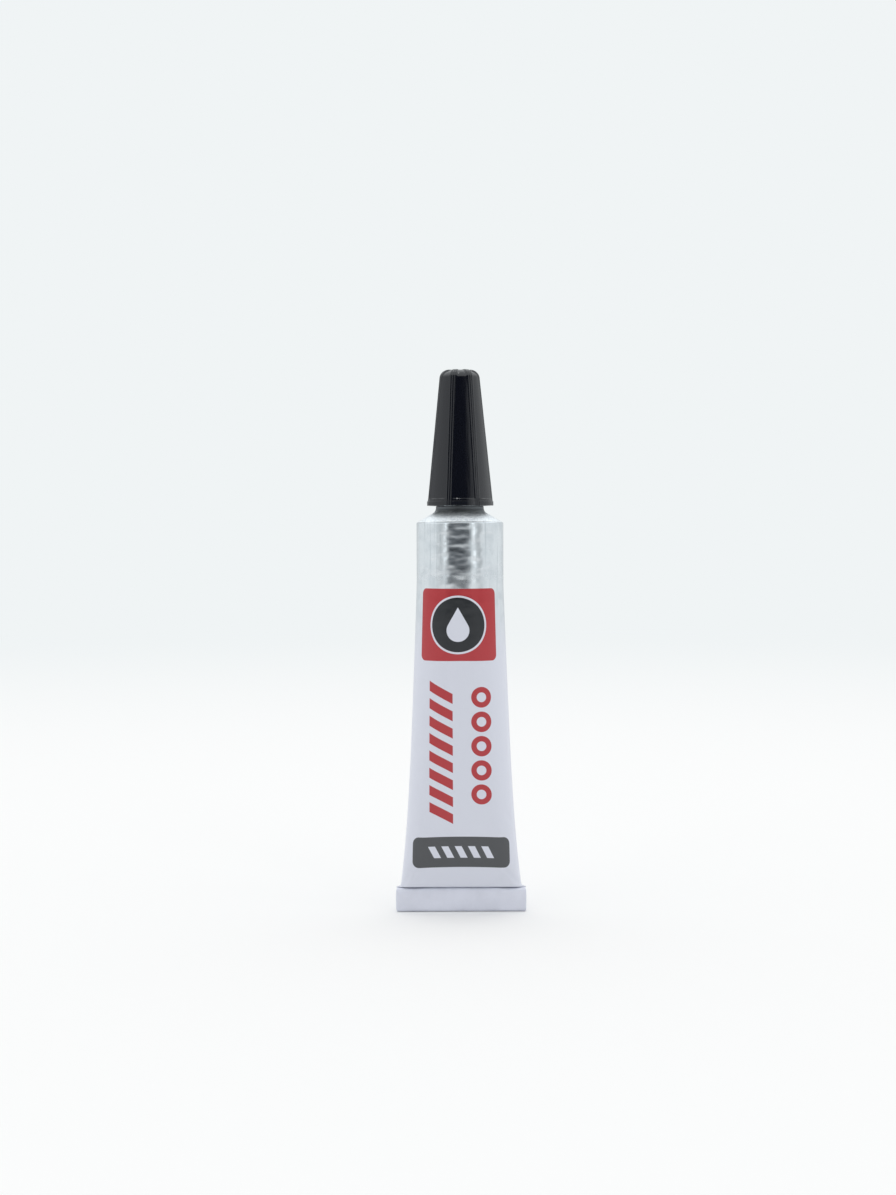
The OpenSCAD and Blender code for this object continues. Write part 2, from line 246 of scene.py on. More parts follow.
# Below it, a column of slanted stripes and a column of rings
STRIPES, STRIPES_HALF, STRIPES_FOOT = (-3.1, 25.4), (1.85, 10.3), 15.15
STRIPE_PITCH, STRIPE_W, STRIPE_LEAN = 2.7, 1.62, 0.55
RINGS, RINGS_HALF, RING_PITCH, RING_R, RING_HOLE = (3.2, 26.5), (2.2, 9.5), 3.8, 1.6, 0.75
aslant = maths(tree, "MULTIPLY_ADD", maths(tree, "SUBTRACT", u, STRIPES[0]), STRIPE_LEAN, v)
stripes = repeated(tree, maths(tree, "SUBTRACT", aslant, STRIPES_FOOT), STRIPE_PITCH, STRIPE_W)
stripes = maths(tree, "MULTIPLY", stripes, printed_panel(tree, u, aslant, STRIPES, STRIPES_HALF, 0.1))
ring_middle = (RINGS[0], RING_PITCH/2)
rings_up = maths(tree, "FLOORED_MODULO", maths(tree, "SUBTRACT", v, RINGS[1] - RINGS_HALF[1]), RING_PITCH)
rings = maths(tree, "SUBTRACT", printed_disc(tree, u, rings_up, ring_middle, RING_R),
              printed_disc(tree, u, rings_up, ring_middle, RING_HOLE))
rings = maths(tree, "MULTIPLY", rings, printed_panel(tree, u, v, RINGS, RINGS_HALF, 0.2))

# At the foot, a dark bar with slanted dashes
BAR, BAR_HALF, BAR_CORNER = (0, 9.6), (7.75, 2.5), 1.1
DASHES_HALF, DASHES_START, DASH_PITCH, DASH_W, DASH_LEAN = (4.8, 0.95), -4.78, 2.1, 1.15, 0.5
bar = printed_panel(tree, u, v, BAR, BAR_HALF, BAR_CORNER)
aslant = maths(tree, "MULTIPLY_ADD", maths(tree, "SUBTRACT", v, BAR[1]), DASH_LEAN, u)
dashes = repeated(tree, maths(tree, "SUBTRACT", aslant, DASHES_START), DASH_PITCH, DASH_W)
dashes = maths(tree, "MULTIPLY", dashes, printed_panel(tree, aslant, v, BAR, DASHES_HALF, 0.1))

# Ink hides most of the metal under it, and the pale parts of the print are bare lacquer
INK_COVER = 0.75
red = maths(tree, "MAXIMUM", emblem, maths(tree, "MAXIMUM", stripes, rings))
pale = maths(tree, "MAXIMUM", maths(tree, "MAXIMUM", keyline, drop), dashes)
ink = maths(tree, "MAXIMUM", red, bar)
ink = maths(tree, "SUBTRACT", ink, maths(tree, "MULTIPLY", pale, ink))
metal = maths(tree, "MULTIPLY", bare, maths(tree, "SUBTRACT", 1, maths(tree, "MULTIPLY", ink, INK_COVER)))
metal = maths(tree, "SUBTRACT", metal, maths(tree, "MULTIPLY", metal, pale))
tint, metal_roughness, metal_height = drawn_metal(tree, place)
surface = blend(tree, bare, LACQUER, tint)
for area, paint in ((red, RED_INK), (roundel, DARK_INK), (bar, BAR_INK), (pale, LACQUER)):
    surface = blend(tree, area, surface, paint)
peel = maths(tree, "MULTIPLY", noise(tree, place, 1.6), 0.05)
height = blend_value(tree, bare, peel, metal_height)
roughness = blend_value(tree, bare, maths(tree, "MULTIPLY_ADD", peel, 2, 0.33), metal_roughness)
show(tree, Base_Color=surface, Metallic=metal, Roughness=roughness, Normal=bumps(tree, height, WAVE_DEPTH))


def finish_piece(name, bm, material, body, slot, *nodes):
    """Makes a mesh in mm the piece that replaces those CAD nodes and rides on that body."""
    bmesh.ops.scale(bm, vec=(MM, MM, MM), verts=bm.verts)
    mesh = bpy.data.meshes.new(name)
    bm.to_mesh(mesh)
    bm.free()
    for face in mesh.polygons:
        face.use_smooth = True
    mesh.materials.append(material)
    piece = bpy.data.objects.new(name, mesh)
    bpy.context.scene.collection.objects.link(piece)
    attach(piece, body)
    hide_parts(*nodes)
    return piece


def thicken(piece, thickness, offset):
    """Gives a sheet its thickness in mm: inwards where offset is -1, to both sides where it is 0."""
    wall = piece.modifiers.new("thickness", "SOLIDIFY")
    wall.thickness, wall.offset = thickness*MM, offset


def spin_round(bm, verts, steps):
    """Joins vertices in a line and spins it all the way round the upright."""
    line = [bm.edges.new(pair) for pair in zip(verts, verts[1:])]
    bmesh.ops.spin(bm, geom=verts + line, cent=(0, 0, 0), axis=(0, 0, 1), dvec=(0, 0, 0), angle=2*pi,
                   steps=steps, use_merge=True, use_duplicate=False)


GIRTH_STEPS = 144


def sleeve(heights):
    """A round sleeve with a ring of vertices at each height, and where each vertex lies on the girth."""
    bm = bmesh.new()
    spin_round(bm, [bm.verts.new((0, -TUBE_R, z)) for z in heights], GIRTH_STEPS)
    bmesh.ops.recalc_face_normals(bm, faces=bm.faces)
    return bm, {vert: round(atan2(vert.co.x, -vert.co.y)/pi, 5) for vert in bm.verts}


# The mesh runs on a little way inside the round band, so that no edge of it shows there. Its rows lie
# closer together near the crimp, where the wall bends most.
LAP_Z, LAP_GAP = BAND_Z + 0.6, 0.03
CLOSE_TOP, CLOSE_ROWS, WIDE_ROWS = 7.8, 36, 88
heights = [CRIMP_Z + (CLOSE_TOP - CRIMP_Z)*(i/CLOSE_ROWS)**1.6 for i in range(CLOSE_ROWS)]
heights += [CLOSE_TOP + (BAND_Z - CLOSE_TOP)*i/WIDE_ROWS for i in range(WIDE_ROWS + 1)] + [LAP_Z]
bm, turns = sleeve(heights)
# The print follows the metal, whose length from the top stays as it was before the tail was pressed
rows = {vert: min(range(len(heights)), key=lambda i: abs(heights[i] - vert.co.z)) for vert in bm.verts}
lengths = {}
for turn in set(turns.values()):
    run, last = 0, wall_point(turn, BAND_Z)
    lengths[turn, len(heights) - 1] = LAP_Z
    for row in reversed(range(len(heights) - 1)):
        here = wall_point(turn, heights[row])
        run, last = run + (here - last).length, here
        lengths[turn, row] = BAND_Z - run
# The map is cut along the middle of the back, where the girth's two ends meet
girth_map = bm.loops.layers.uv.new("girth")
for face in bm.faces:
    on_left = face.calc_center_median().x < 0
    for loop in face.loops:
        turn = turns[loop.vert]
        height = lengths[turn, rows[loop.vert]]
        if abs(turn) > 0.9:
            turn = -abs(turn) if on_left else abs(turn)
        loop[girth_map].uv = (turn*HALF_GIRTH/UV_SPAN, height/UV_SPAN)
for vert in bm.verts:
    lapped = vert.co.z > BAND_Z + 0.1
    vert.co = creased(wall_point(turns[vert], vert.co.z))
    if lapped:
        vert.co.xy *= 1 - LAP_GAP/TUBE_R
tube_wall = finish_piece("tube_wall", bm, white_lacquer, "tube", "white_lacquer", "tube_body")
thicken(tube_wall, WALL_T, -1)

# Folded tail. The flat end of the same tube, bent forward and up, then over and down inside, so that
# the seam can't open. The lacquer is creased where it bends.
FOLD_STEP, FOOT_Z, FOLD_TOP, FLAT_TOP = 0.46, 0.66, 3.37, 3.92
FOLD_ROUND, BEND_STEPS, SHEET_STEPS = 0.08, 10, 44
tail_lacquer, tree, place = new_material("tail_lacquer")
# Painted light: patches of the tail's lacquer are lighter than the wall's, standing in for light from the
# floor on the fold
painted_light_patches = noise(tree, place, 0.3, 4)
surface = blend(tree, rise(tree, painted_light_patches, 0.35, 0.7), colour("#e0e3ef"), colour("#d8dbe7"))
fine_dents = maths(tree, "MULTIPLY", noise(tree, place, 1.6), 0.3)
dents = maths(tree, "ADD", noise(tree, place, 0.35, stretch=(1, 1, 0.5)), fine_dents)
show(tree, Base_Color=surface, Roughness=0.38, Normal=bumps(tree, dents, 0.12, 0.6))


def run_on(bm, last, y, levels):
    """Carries the folded sheet's edge on from the last vertex to each level, and returns the newest."""
    for z in levels:
        made = bm.verts.new((last.co.x, y, z))
        bm.edges.new((last, made))
        last = made
    return last


def bend(bm, last, y, z):
    """Carries the edge round a half turn about (y, z), and returns its last vertex."""
    swept = bmesh.ops.spin(bm, geom=[last], cent=(0, y, z), axis=(1, 0, 0), dvec=(0, 0, 0), angle=-pi,
                           steps=BEND_STEPS, use_merge=False, use_duplicate=False)
    return swept["geom_last"][0]


# Wear of the fold: how far its corners draw in at the foot and at the strip behind, over which heights,
# and where and how far its front gapes. The rows of vertices let the sheet follow that.
WORN_FOOT, WORN_FOOT_TOP = 0.35, 0.7
WORN_STRIP, STRIP_Z, STRIP_RUN = 0.2, 3.2, 0.5
GAPE_X, GAPE_W, GAPE_Z, GAPE_RUN, GAPE_OUT, GAPE_DOWN = 7.6, 1.6, 2, 2, 0.1, 0.12
STRIP_ROWS, FRONT_ROWS = (CRIMP_Z, 3.6, STRIP_Z), (1.3, 2.0, 2.7)


def folded_sheet(width):
    """A sheet that hangs from the crimp and is folded twice to the front.

    Its corners are worn round, its strip behind narrows into the wall, and it gapes near its ends."""
    bm = bmesh.new()
    end = bm.verts.new((-width/2, 0, FLAT_TOP))
    end = run_on(bm, end, 0, STRIP_ROWS + (FOOT_Z,))
    end = bend(bm, end, -FOLD_STEP, FOOT_Z)
    end = run_on(bm, end, -2*FOLD_STEP, FRONT_ROWS + (FOLD_TOP,))
    end = bend(bm, end, -1.5*FOLD_STEP, FOLD_TOP)
    run_on(bm, end, -FOLD_STEP, (FOOT_Z,))
    edge = list(bm.edges)
    for _ in range(SHEET_STEPS):
        grown = bmesh.ops.extrude_edge_only(bm, edges=edge)["geom"]
        verts = {g for g in grown if isinstance(g, bmesh.types.BMVert)}
        edge = [g for g in grown if isinstance(g, bmesh.types.BMEdge) and set(g.verts) <= verts]
        bmesh.ops.translate(bm, verts=list(verts), vec=(width/SHEET_STEPS, 0, 0))
    bmesh.ops.recalc_face_normals(bm, faces=bm.faces)
    for vert in bm.verts:
        worn = (WORN_FOOT*max(1 - vert.co.z/WORN_FOOT_TOP, 0)**2
                + WORN_STRIP*max((vert.co.z - STRIP_Z)/STRIP_RUN, 0)**2)
        vert.co.x *= 1 - worn*(abs(vert.co.x)/width*2)**8/width*2
        if vert.co.y < -FOLD_STEP/2 and vert.co.z > GAPE_Z:
            gape = exp(-((abs(vert.co.x) - GAPE_X)/GAPE_W)**2)*(vert.co.z - GAPE_Z)/GAPE_RUN
            vert.co.y, vert.co.z = vert.co.y - GAPE_OUT*gape, vert.co.z - GAPE_DOWN*gape
    return bm


tail = finish_piece("tail", folded_sheet(FOLD_W), tail_lacquer, "tube", "tail_lacquer", "tail_fold")
thicken(tail, LAYER_T, 0)
rounding = tail.modifiers.new("rounding", "BEVEL")
rounding.width, rounding.segments, rounding.limit_method = FOLD_ROUND*MM, 2, "ANGLE"

# Latex end seal. A band of dried latex, sprayed inside the tail and pressed between its walls, so that
# the fold is tight.
LATEX_T, LATEX_EDGE = 0.1, 1
latex, tree, place = new_material("latex")
film = noise(tree, place, 0.8, 4)
surface = blend(tree, rise(tree, film, 0.35, 0.7), colour("#cdb98c"), colour("#b59f70"))
show(tree, Base_Color=surface, Roughness=maths(tree, "MULTIPLY_ADD", film, 0.3, 0.4),
     Normal=bumps(tree, film, 0.04))
seal = finish_piece("latex_seal", folded_sheet(FOLD_W - 2*LATEX_EDGE), latex, "tube", "latex", "tail_latex")
thicken(seal, LATEX_T, 0)

# Glue. Clear cyanoacrylate, as thin as water, filled in through the tail before it was folded. It takes
# up the lower half of the tube, and its mesh stops short of the creased wall.
GLUE_FOOT, GLUE_TOP, GLUE_GAP, GLUE_ROWS = 4.9, 31.15, 0.4, 30


def cells(tree, place, scale):
    """Distance from the nearest of many scattered points. scale counts points per millimetre."""
    inputs = {"Vector": place, "Scale": scale/MM, "Randomness": 1}
    return node(tree, "TexVoronoi", inputs).outputs["Distance"]


glue, tree, place = new_material("glue")
bubbles = rise(tree, cells(tree, place, 0.7), 0.16, 0.1)
surface = blend(tree, bubbles, colour("#f1f4ee"), colour("#ffffff"))
show(tree, Base_Color=surface, Roughness=0.02, IOR=1.45, Transmission_Weight=1,
     Normal=bumps(tree, bubbles, 0.05))
bm, turns = sleeve([GLUE_FOOT + (GLUE_TOP - GLUE_FOOT)*i/GLUE_ROWS for i in range(GLUE_ROWS + 1)])
for vert in bm.verts:
    vert.co = wall_point(turns[vert], vert.co.z, GLUE_GAP)
bmesh.ops.holes_fill(bm, edges=bm.edges, sides=0)
bmesh.ops.recalc_face_normals(bm, faces=bm.faces)
finish_piece("glue_fill", bm, glue, "tube", "glue", "glue")

# Head of the tube. The upper end of the same extrusion: a bare polished band, a stiff conical shoulder
# and a neck with a rolled 6 mm thread. Fine draw lines run up the metal, and the band is a little wavy.
BAND_H, BAND_ROWS, HEAD_STEPS = 8.6, 12, 128
RIM_Z, RIM_R, SHOULDER_Z, CAP_SHADE_Z, CAP_SHADE_RUN = 60.68, 0.25, 60.8, 62.2, 0.7
COLLAR_Z, COLLAR_R, COLLAR_CUT, FILLET_Z, FILLET_R = 63.4, 3.72, 0.1, 63.15, 1
MOUTH_Z, MOUTH_R, MOUTH_CUT = 68.2, 1.9, 0.15
INNER_R, INNER_Z, INNER_TOP = TUBE_R - WALL_T, 60.3, 63.2
ROOT_R, CREST_R, PITCH, THREAD_TURNS, TURN_STEPS = 2.55, 3, 1, 3.9, 32
bare_aluminium, tree, place = new_material("bare_aluminium")
tint, roughness, height = drawn_metal(tree, place)
# The shoulder is grained and dull, and it is painted darker towards the collar, as painted shade and a
# painted dark reflection of the cap above it. The rolled neck above is smooth.
up = node(tree, "SeparateXYZ", {0: place}).outputs[2]
grain = noise(tree, place, 4)
on_neck = rise(tree, up, (COLLAR_Z - 0.02)*MM, (COLLAR_Z + 0.02)*MM)
on_shoulder = maths(tree, "SUBTRACT", rise(tree, up, SHOULDER_Z*MM, (SHOULDER_Z + 0.2)*MM), on_neck)
grained = blend(tree, rise(tree, grain, 0.4, 0.62), colour("#d3d8dd"), colour("#f2f5f7"))
tint = blend(tree, on_shoulder, tint, grained)
# Painted shade: a dark grey band just below the collar stands in for the shade and dark reflection under the
# cap
cap_shade = between(tree, up, (CAP_SHADE_Z*MM, (CAP_SHADE_Z + CAP_SHADE_RUN)*MM),
                    ((COLLAR_Z - 0.01)*MM, (COLLAR_Z - 0.03)*MM))
tint = blend(tree, cap_shade, tint, colour("#74787c"))
roughness = blend_value(tree, on_shoulder, roughness, maths(tree, "MULTIPLY_ADD", grain, 0.25, 0.38))
height = blend_value(tree, on_shoulder, height, maths(tree, "MULTIPLY", grain, 0.15))
height = blend_value(tree, on_neck, height, 0)
show(tree, Base_Color=tint, Metallic=1, Roughness=roughness, Normal=bumps(tree, height, WAVE_DEPTH))


def arc(r, z, radius, first, last, steps=8):
    """Points of an arc about (r, z), with its angles in degrees."""
    angles = [radians(first + (last - first)*i/steps) for i in range(steps + 1)]
    return [(r + radius*cos(a), z + radius*sin(a)) for a in angles]


def turned(bm, outline, steps):
    """Spins an outline of (radius, height) about the upright."""
    spin_round(bm, [bm.verts.new((r, 0, z)) for r, z in outline], steps)


def weld(bm):
    """Merges the vertices that lie on each other."""
    bmesh.ops.remove_doubles(bm, verts=bm.verts, dist=0.0005)


def keep_sharp(bm, angle):
    """Keeps the edges that bend by more than an angle, in degrees, sharp under smooth shading."""
    for edge in bm.edges:
        edge.smooth = len(edge.link_faces) != 2 or edge.calc_face_angle(0) < radians(angle)


band = [(TUBE_R, BAND_Z + BAND_H*i/BAND_ROWS) for i in range(BAND_ROWS)]
rim = arc(TUBE_R - RIM_R, RIM_Z, RIM_R, 0, 60, 6)
fillet = arc(COLLAR_R + FILLET_R, FILLET_Z, FILLET_R, 240, 180)
neck = [(COLLAR_R, COLLAR_Z - COLLAR_CUT), (COLLAR_R - COLLAR_CUT, COLLAR_Z), (ROOT_R, COLLAR_Z),
        (ROOT_R, MOUTH_Z - MOUTH_CUT), (ROOT_R - MOUTH_CUT, MOUTH_Z)]
inside = [(MOUTH_R, MOUTH_Z), (MOUTH_R, INNER_TOP), (INNER_R - RIM_R, INNER_Z + RIM_R),
          (INNER_R, INNER_Z), (INNER_R, BAND_Z)]
outline = band + rim + fillet + neck + inside
bm = bmesh.new()
turned(bm, outline + outline[:1], HEAD_STEPS)
weld(bm)
# The thread is one rolled ridge, a triangle with a blunt crest, led round the neck by its pitch
RIDGE_Z, RIDGE_SINK, RIDGE_FOOT, RIDGE_CREST = COLLAR_Z + 0.38, 0.05, 0.28, 0.09
ridge = [bm.verts.new((r, 0, RIDGE_Z + z))
         for r, z in ((ROOT_R - RIDGE_SINK, -RIDGE_FOOT), (CREST_R, -RIDGE_CREST),
                      (CREST_R, RIDGE_CREST), (ROOT_R - RIDGE_SINK, RIDGE_FOOT))]
bmesh.ops.spin(bm, geom=[bm.faces.new(ridge)], cent=(0, 0, 0), axis=(0, 0, 1),
               dvec=(0, 0, PITCH/TURN_STEPS), angle=2*pi*THREAD_TURNS,
               steps=round(THREAD_TURNS*TURN_STEPS), use_merge=False, use_duplicate=False)
bmesh.ops.recalc_face_normals(bm, faces=bm.faces)
keep_sharp(bm, 40)
finish_piece("tube_top", bm, bare_aluminium, "tube", "bare_aluminium", "tube_head")

# Foil seal. A thin aluminium disc, sealed across the mouth of the neck, which the nozzle's piercer tears.
# It bears the fine crinkle of the sealing tool.
foil, tree, place = new_material("foil")
sheen = noise(tree, place, 1.5, 3)
surface = blend(tree, sheen, colour("#e4e6e8"), colour("#d3d6d9"))
show(tree, Base_Color=surface, Metallic=1, Roughness=maths(tree, "MULTIPLY_ADD", sheen, 0.2, 0.12),
     Normal=bumps(tree, cells(tree, place, 2.2), 0.05, 0.7))


def refinish(name, material):
    """Gives a CAD node, whose shape is right, its real finish."""
    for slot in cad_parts[name].material_slots:
        slot.material = material


refinish("neck_foil", foil)

# Nozzle. Injection-moulded natural polyethylene, waxy and slightly see-through: a skirt with seven flats
# that screws onto the neck, a hollow piercer over the foil and a long spout with a fine orifice.
FLATS, FRONT_FLAT = 7, radians(-83.6)
SKIRT_Z, SKIRT_FLAT, SKIRT_BORE, CEILING_Z, ROOF_Z = 64.7, 3.55, 3.1, 69.45, 70.15
PIERCER_Z, PIERCER_BASE_R, PIERCER_TIP_R, CHANNEL_R = 68.55, 1.5, 0.83, 0.75
SPOUT_TOP, SPOUT_BASE_R, SPOUT_TIP_R, SPOUT_FILLET = 80.96, 2.6, 1.1, 0.25
SKIRT_ROUND, BRIM_ROUND, TIP_ROUND, TIP_DROP = 0.3, 0.18, 0.17, 0.15
ORIFICE_R, ORIFICE_Z = 0.5, 74.46
NOZZLE_STEPS, NEAR = 96, 0.01
nozzle_plastic, tree, place = new_material("nozzle_plastic")
flow = noise(tree, place, 0.9, 3, (1, 1, 0.15))
surface = blend(tree, flow, colour("#eceee8"), colour("#e0e3dc"))
show(tree, Base_Color=surface, Roughness=maths(tree, "MULTIPLY_ADD", flow, 0.18, 0.3), Subsurface_Weight=0.4,
     Subsurface_Radius=(1, 1, 0.9), Subsurface_Scale=0.6*MM, Normal=bumps(tree, flow, 0.02))


def round_edges(bm, edges, width, segments):
    """Rounds edges off."""
    bmesh.ops.bevel(bm, geom=edges, offset=width, affect="EDGES", segments=segments, profile=0.5, material=-1)


def bridge_below(bm, z):
    """Joins the two open rims that lie below a height."""
    rims = [e for e in bm.edges if e.is_boundary and e.verts[0].co.z < z]
    bmesh.ops.bridge_loops(bm, edges=rims)


bm = bmesh.new()
skirt_r = SKIRT_FLAT/cos(pi/FLATS)
middle = Matrix.Translation((0, 0, (ROOF_Z + SKIRT_Z)/2))
bmesh.ops.create_cone(bm, cap_ends=True, segments=FLATS, radius1=skirt_r, radius2=skirt_r,
                      depth=ROOF_Z - SKIRT_Z, matrix=middle @ Matrix.Rotation(FRONT_FLAT + pi/FLATS, 4, "Z"))
round_edges(bm, [e for e in bm.edges if abs(e.verts[0].co.z - e.verts[1].co.z) > 1], SKIRT_ROUND, 5)
round_edges(bm, [e for e in bm.edges if min(v.co.z for v in e.verts) > ROOF_Z - NEAR], BRIM_ROUND, 3)
ends = [f for f in bm.faces if max(v.co.z for v in f.verts) < SKIRT_Z + NEAR
        or min(v.co.z for v in f.verts) > ROOF_Z - NEAR]
bmesh.ops.delete(bm, geom=ends, context="FACES_ONLY")
bore = [(SKIRT_BORE + 0.12, SKIRT_Z), (SKIRT_BORE, SKIRT_Z + 0.15), (SKIRT_BORE, CEILING_Z),
        (PIERCER_BASE_R, CEILING_Z), (PIERCER_TIP_R, PIERCER_Z), (CHANNEL_R, PIERCER_Z),
        (CHANNEL_R, ORIFICE_Z), (ORIFICE_R, ORIFICE_Z + 0.2), (ORIFICE_R, SPOUT_TOP)]
turned(bm, bore, NOZZLE_STEPS)
weld(bm)
bridge_below(bm, SKIRT_Z + NEAR)
fillet_r = SPOUT_BASE_R + SPOUT_FILLET
spout = [(fillet_r, ROOF_Z)] + arc(fillet_r, ROOF_Z + SPOUT_FILLET, SPOUT_FILLET, 270, 186, 5)
spout += arc(SPOUT_TIP_R - TIP_ROUND, SPOUT_TOP - TIP_DROP, TIP_ROUND, 8, 90, 5) + [(ORIFICE_R, SPOUT_TOP)]
turned(bm, spout, NOZZLE_STEPS)
weld(bm)
bridge_below(bm, ROOF_Z + NEAR)
bmesh.ops.recalc_face_normals(bm, faces=bm.faces)
keep_sharp(bm, 50)
finish_piece("nozzle_spout", bm, nozzle_plastic, "nozzle", "nozzle_plastic", "nozzle")

# Cap. Injection-moulded black plastic, tapered, with seven flats to grip. Three fine beads lie between
# each two flats, which run on only faintly over the ring round the mouth. It is pushed onto the nozzle.
CAP_Z, CAP_TOP_Z, CAP_ROUND, CAP_STEPS = 63.46, 84.46, 1.4, 448
CAP_ROOF_R, TAPER = 4.5, 5.9
RING_TOP, DOME_Z = CAP_Z + 1.1, CAP_TOP_Z - CAP_ROUND
LIP_H, LIP_OUT, LIP_CUT, RING_FLATS, RING_INNER_R = 0.65, 0.03, 0.05, 0.6, 4.9
BEADS_W, BEAD_PITCH, BEAD_H, FLAT_CROWN, FLAT_EDGE = 0.52, 0.35, 0.06, 0.4, 0.25
SCOOP_Z, SCOOP_RUN, SCOOP_DEPTH, SCOOP_R = DOME_Z - 2, 3, 0.22, 2.2
CAP_MOUTH_R, CAP_BORE, SOCKET_R, SOCKET_Z = 4.7, 4.52, 4.1, 64.55
WELL_BASE_R, WELL_TIP_R, WELL_TOP = 2.9, 1.5, 81.96
EDGE_ROWS, SIDE_ROWS, TOP_ROWS = (-0.16, -0.08, 0, 0.06, 0.14), 28, (1.3, 0.6)


def cap_radius(z):
    """Radius of the cap over its beads at height z."""
    return CAP_ROOF_R + (ROOF_Z - z)*tan(radians(TAPER))


def gripped(angle, radius):
    """What the flats and the three beads between two flats leave of a radius, at an angle round the cap.

    Also gives 1 on a flat, falling to 0 on the beads."""
    pitch = 2*pi/FLATS
    from_flat = abs((angle - FRONT_FLAT + pitch/2) % pitch - pitch/2)
    from_bead = (pitch/2 - from_flat)*radius
    foot = radius - BEAD_H
    if from_bead < BEADS_W:
        return foot + BEAD_H/2*(1 + cos(2*pi*from_bead/BEAD_PITCH)), 0
    chord = foot*cos(pitch/2 - BEADS_W/radius)/cos(from_flat)
    return chord + FLAT_CROWN*(foot - chord), min((from_bead - BEADS_W)/FLAT_EDGE, 1)


# Glossy black plastic with faint flow lines up the mould, and a little dust
black_plastic, tree, place = new_material("black_plastic")
flow = noise(tree, place, 2.4, stretch=(1, 1, 0.02))
speck = maths(tree, "MULTIPLY", rise(tree, cells(tree, place, 0.55), 0.055, 0.035),
              rise(tree, noise(tree, place, 0.3), 0.56, 0.6))
surface = blend(tree, speck, colour("#0f1119"), colour("#8e9094"))
roughness = maths(tree, "MULTIPLY_ADD", speck, 0.5, maths(tree, "MULTIPLY_ADD", flow, 0.12, 0.08))
show(tree, Base_Color=surface, Roughness=roughness, Normal=bumps(tree, flow, 0.03, 0.4))

bm = bmesh.new()
foot_r = cap_radius(CAP_Z) + LIP_OUT
lip = [(CAP_MOUTH_R, CAP_Z), (foot_r - LIP_CUT, CAP_Z), (foot_r, CAP_Z + LIP_CUT), (foot_r, CAP_Z + LIP_H)]
levels = [CAP_Z + LIP_H + 0.07] + [RING_TOP + step for step in EDGE_ROWS]
levels += [RING_TOP + (DOME_Z - RING_TOP)*i/SIDE_ROWS for i in range(1, SIDE_ROWS)]
sides = [(cap_radius(z), z) for z in levels]
dome_r = cap_radius(DOME_Z) - CAP_ROUND/cos(radians(TAPER))
dome = arc(dome_r, DOME_Z, CAP_ROUND, TAPER, 90, 14) + [(r, CAP_TOP_Z) for r in TOP_ROWS]
turned(bm, lip + sides + dome, CAP_STEPS)
for vert in bm.verts:
    radius = hypot(vert.co.x, vert.co.y)
    full = cap_radius(min(vert.co.z, DOME_Z))
    left, on_flat = gripped(atan2(vert.co.y, vert.co.x), full)
    depth = (left/full - 1)*min(radius/full, 1)**2
    if vert.co.z < RING_TOP - NEAR:
        depth *= RING_FLATS if radius > RING_INNER_R else 0
    vert.co.xy *= 1 + depth
    # The flats run on over the top edge as shallow scoops, so that the beads end in small lobes
    near_top = min(max((vert.co.z - SCOOP_Z)/SCOOP_RUN, 0), 1)
    vert.co.z -= SCOOP_DEPTH*on_flat*near_top**2*min(radius/SCOOP_R, 1)**3
top_rim = [e for e in bm.edges if e.is_boundary and e.verts[0].co.z > CAP_TOP_Z - 0.1]
bmesh.ops.contextual_create(bm, geom=top_rim)
hollow = [(CAP_MOUTH_R, CAP_Z), (CAP_BORE, CAP_Z + 0.18), (CAP_BORE, SOCKET_Z - 0.15), (SOCKET_R, SOCKET_Z),
          (SOCKET_R, ROOF_Z), (WELL_BASE_R, ROOF_Z + 0.2), (WELL_TIP_R, WELL_TOP - 0.16), (0, WELL_TOP)]
turned(bm, hollow, CAP_STEPS)
weld(bm)
bmesh.ops.recalc_face_normals(bm, faces=bm.faces)
keep_sharp(bm, 28)
finish_piece("grip_cap", bm, black_plastic, "cap", "black_plastic", "cap")

# Pin. Drawn steel wire, pressed into the roof of the cap, which stands in the orifice and keeps it open.
# Fine draw lines run along it.
pin_steel, tree, place = new_material("pin_steel")
wire_lines = noise(tree, place, 12, stretch=(1, 1, 0.01))
surface = blend(tree, wire_lines, colour("#c4c7ca"), colour("#a4a8ac"))
show(tree, Base_Color=surface, Metallic=1, Roughness=maths(tree, "MULTIPLY_ADD", wire_lines, 0.2, 0.18),
     Normal=bumps(tree, wire_lines, 0.01))
refinish("cap_pin", pin_steel)

# Studio. A pale floor under soft even light, with the dim side of the room behind the camera. Only
# reflections and, in part, diffuse light see the dim side. Angles round the room are in radians, and a
# slope is where it is 0 and where it is 1.
BACKDROP, DIM_TABLE, DIM_ROOM = colour("#f0f4f5"), colour("#54595e"), colour("#141518")
FLOOR_R, FADE_FROM, FADE_TO = 3, 0.12, 0.7
DIM_TURN, DIM_SLOPE = -0.09, (0.62, 0.44)
RIGHT_SLOPES, RIGHT_DIM = ((0.72, 0.8), (1.06, 0.96)), 0.5
LEFT_SLOPES, LEFT_DIM = ((-0.72, -0.8), (-1.16, -1.06)), 0.3
BEHIND_SLOPE, BEHIND_DIM = (2.2, 2.9), 0.22


def azimuth(tree, apart):
    """Angle round the upright of a place or direction in its parts: 0 to the front, more to the right."""
    return maths(tree, "ARCTAN2", apart[0], maths(tree, "MULTIPLY", apart[1], -1))


def dim_side(tree, turn):
    """1 towards the dim side of the room, in front, with fainter strips beside it and behind the object."""
    middle = rise(tree, away(tree, turn, DIM_TURN), *DIM_SLOPE)
    right, left = [between(tree, turn, *slopes) for slopes in (RIGHT_SLOPES, LEFT_SLOPES)]
    strips = maths(tree, "MULTIPLY_ADD", right, RIGHT_DIM, maths(tree, "MULTIPLY", left, LEFT_DIM))
    behind = rise(tree, maths(tree, "ABSOLUTE", turn), *BEHIND_SLOPE)
    behind = maths(tree, "MULTIPLY", behind, BEHIND_DIM)
    return maths(tree, "MAXIMUM", middle, maths(tree, "MAXIMUM", strips, behind))


